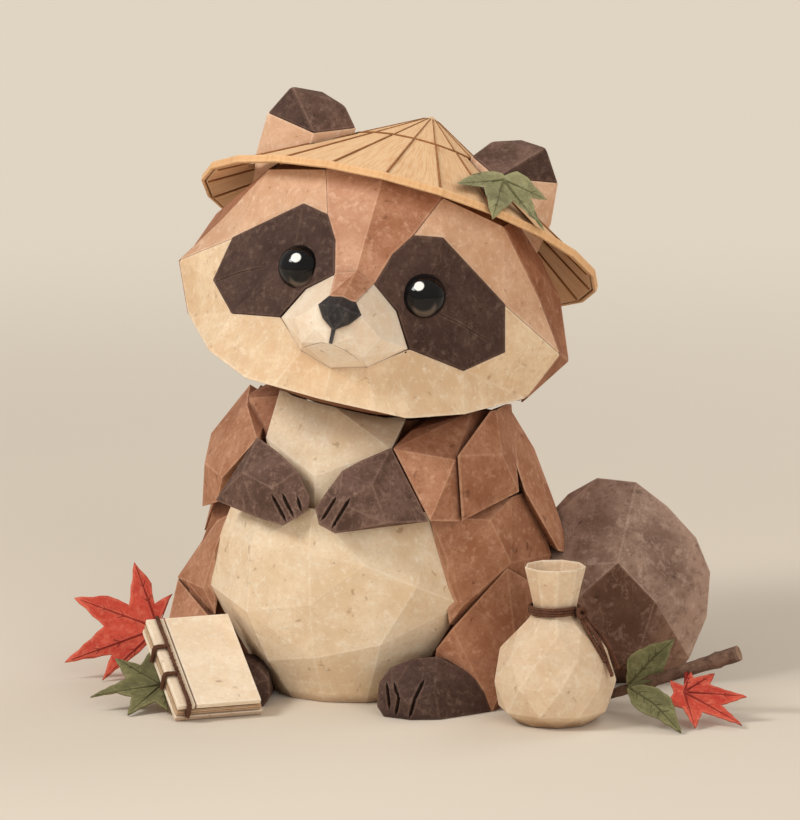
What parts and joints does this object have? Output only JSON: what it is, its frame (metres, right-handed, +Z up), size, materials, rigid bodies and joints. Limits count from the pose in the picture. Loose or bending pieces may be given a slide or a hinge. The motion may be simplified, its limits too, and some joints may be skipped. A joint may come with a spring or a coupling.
{
  "type": "origami raccoon dog ornament",
  "caption": "Folded-paper tanuki that sits with a turning head and lift-off straw hat, with a stitched account book, tied sack, twig and maple leaves.",
  "frame": {"origin": "on the ground under the middle of the seated figure, on the underside of its base card", "axes": "+Z up, the figure faces -Y, +X to the right of someone who looks at its face"},
  "size_m": [0.2391, 0.1709, 0.2005],
  "materials": {
    "card_brown": "matt folded card",
    "washi_cream": "matt fibrous paper",
    "washi_brown": "matt fibrous paper",
    "washi_russet": "matt fibrous paper",
    "washi_tan": "matt fibrous paper",
    "washi_dark": "matt fibrous paper",
    "bead_black": "polished bead",
    "nose_black": "matt folded paper",
    "straw_paper": "matt straw paper",
    "rib_brown": "matt paper strip",
    "leaf_green": "matt crinkled paper",
    "leaf_red": "matt crinkled paper",
    "book_board": "matt board",
    "thread_brown": "twisted cord and paper strip",
    "sack_paper": "matt fibrous paper",
    "twig_wood": "bark"
  },
  "bodies": {
    "figure": {"base_card": "card_brown", "body_shell": "card_brown", "neck_collar": "card_brown", "belly_panel": "washi_cream", "chest_bib": "washi_cream", "throat_panel": "washi_brown", "back_flap_left": "washi_brown", "back_flap_right": "washi_brown", "leg_left": "washi_russet", "leg_right": "washi_russet", "haunch_left": "washi_brown", "haunch_right": "washi_brown", "foot_left": "washi_dark", "foot_right": "washi_dark", "sleeve_left": "washi_brown", "sleeve_right": "washi_brown", "paw_left": "washi_dark", "paw_right": "washi_dark", "tail": "washi_dark"},
    "head": {"head_shell": "card_brown", "neck_tube": "card_brown", "forehead_stripe": "washi_russet", "brow_left": "washi_tan", "brow_right": "washi_tan", "temple_left": "washi_brown", "temple_right": "washi_brown", "eye_patch_left": "washi_dark", "eye_patch_right": "washi_dark", "eye_left": "bead_black", "eye_right": "bead_black", "cheek_panel": "washi_cream", "muzzle": "washi_cream", "nose": "nose_black", "ear_base_left": "washi_tan", "ear_base_right": "washi_tan", "ear_tip_left": "washi_dark", "ear_tip_right": "washi_dark"},
    "hat": {"hat_cone": "straw_paper", "hat_rim": "straw_paper", "hat_ring": "rib_brown", "hat_rib_strips": "rib_brown", "hat_leaf": "leaf_green"},
    "book": {"book_back_cover": "book_board", "book_page_board": "book_board", "book_spine_strip": "book_board", "binding_thread": "thread_brown"},
    "book_cover": {"book_front_cover": "book_board"},
    "sack": {"sack_body": "sack_paper", "sack_tie": "thread_brown"},
    "twig_spray": {"twig": "twig_wood", "twig_leaf_upper": "leaf_green", "twig_leaf_lower": "leaf_green", "small_red_leaf": "leaf_red"},
    "red_leaf": {"large_red_leaf": "leaf_red"},
    "green_leaf_piece": {"green_leaf": "leaf_green"}
  },
  "joints": [
    {"name": "head_turn", "type": "hinge", "parent": "figure", "child": "head", "pos_m": [-0.00257, -0.00599, 0.09339], "axis": [0.178, 0.235, 0.9556], "range_deg": [-8, 8]},
    {"name": "hat_lift", "type": "slide", "parent": "head", "child": "hat", "axis": [0.1368, 0.438, 0.8885], "range_m": [0, 0.045]},
    {"name": "book_lift", "type": "slide", "parent": "figure", "child": "book", "axis": [0.303, -0.8081, 0.5051], "range_m": [0, 0.05]},
    {"name": "cover_open", "type": "hinge", "parent": "book", "child": "book_cover", "pos_m": [-0.03818, -0.06548, 0.01706], "axis": [0.5163, -0.6609, -0.5446], "range_deg": [0, 100]},
    {"name": "sack_lift", "type": "slide", "parent": "figure", "child": "sack", "axis": [0, 0, 1], "range_m": [0, 0.05]},
    {"name": "twig_lift", "type": "slide", "parent": "figure", "child": "twig_spray", "axis": [0, 0, 1], "range_m": [0, 0.04]},
    {"name": "red_leaf_lift", "type": "slide", "parent": "figure", "child": "red_leaf", "axis": [0, 0, 1], "range_m": [0, 0.04]},
    {"name": "green_leaf_slide", "type": "slide", "parent": "figure", "child": "green_leaf_piece", "axis": [-0.9511, -0.309, 0], "range_m": [0, 0.04]}
  ]
}
